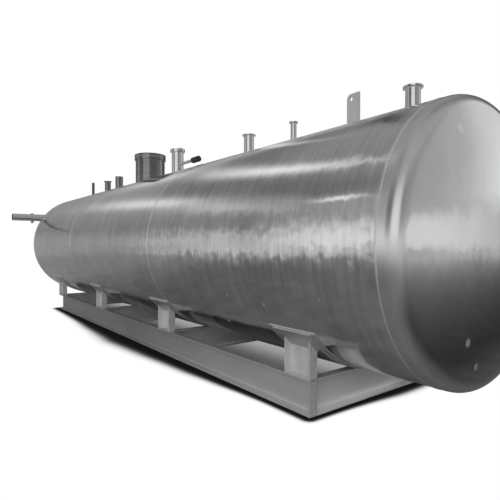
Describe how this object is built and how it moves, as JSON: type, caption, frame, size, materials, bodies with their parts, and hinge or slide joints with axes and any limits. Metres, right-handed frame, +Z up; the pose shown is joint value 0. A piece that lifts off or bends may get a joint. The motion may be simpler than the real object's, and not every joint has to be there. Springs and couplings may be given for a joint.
{
  "type": "horizontal sanitary storage tank on a skid",
  "caption": "Horizontal polished stainless steel storage tank with shallow dished ends, lying in saddles on a channel skid, with crown nozzles, a manway, a vent and lifting lugs.",
  "frame": {"origin": "under the middle of the front end beam, at floor level", "axes": "+X along the tank towards its front end, +Z up, side outlet towards -Y"},
  "size_m": [9.0928, 2.4499, 2.728],
  "materials": {
    "shell_steel": "polished, rolled plate with faint streaks round the tank",
    "head_steel": "polished, pressed plate",
    "pad_steel": "satin",
    "post_steel": "satin",
    "skid_steel": "satin, dusty",
    "fitting_steel": "polished",
    "lug_steel": "satin",
    "black_plastic": "matt",
    "seal_rubber": "matt"
  },
  "bodies": {
    "root": {"front_head": "head_steel", "rear_head": "head_steel", "front_shell": "shell_steel", "middle_shell": "shell_steel", "rear_shell": "shell_steel", "left_rail": "skid_steel", "right_rail": "skid_steel", "left_rail_cap": "skid_steel", "front_end_beam": "skid_steel", "second_beam": "skid_steel", "third_beam": "skid_steel", "rear_end_beam": "skid_steel", "wear_pad_1": "pad_steel", "saddle_plate_1": "pad_steel", "posts_1": "post_steel", "wear_pad_2": "pad_steel", "saddle_plate_2": "pad_steel", "posts_2": "post_steel", "wear_pad_3": "pad_steel", "saddle_plate_3": "pad_steel", "posts_3": "post_steel", "wear_pad_4": "pad_steel", "saddle_plate_4": "pad_steel", "posts_4": "post_steel", "front_nozzle": "fitting_steel", "small_nozzle": "fitting_steel", "middle_nozzle": "fitting_steel", "rear_inner_nozzle": "fitting_steel", "rear_outer_nozzle": "fitting_steel", "vent_neck": "fitting_steel", "vent_cap": "fitting_steel", "vent_clamp": "fitting_steel", "vent_branch": "fitting_steel", "manway_neck": "fitting_steel", "manway_ring": "fitting_steel", "manway_lid": "fitting_steel", "outlet_stub": "fitting_steel", "outlet_clamp": "fitting_steel", "outlet_pipe": "fitting_steel", "vent_plug": "black_plastic", "manway_seal": "seal_rubber", "front_lug": "lug_steel", "rear_lug": "lug_steel"}
  },
  "joints": []
}
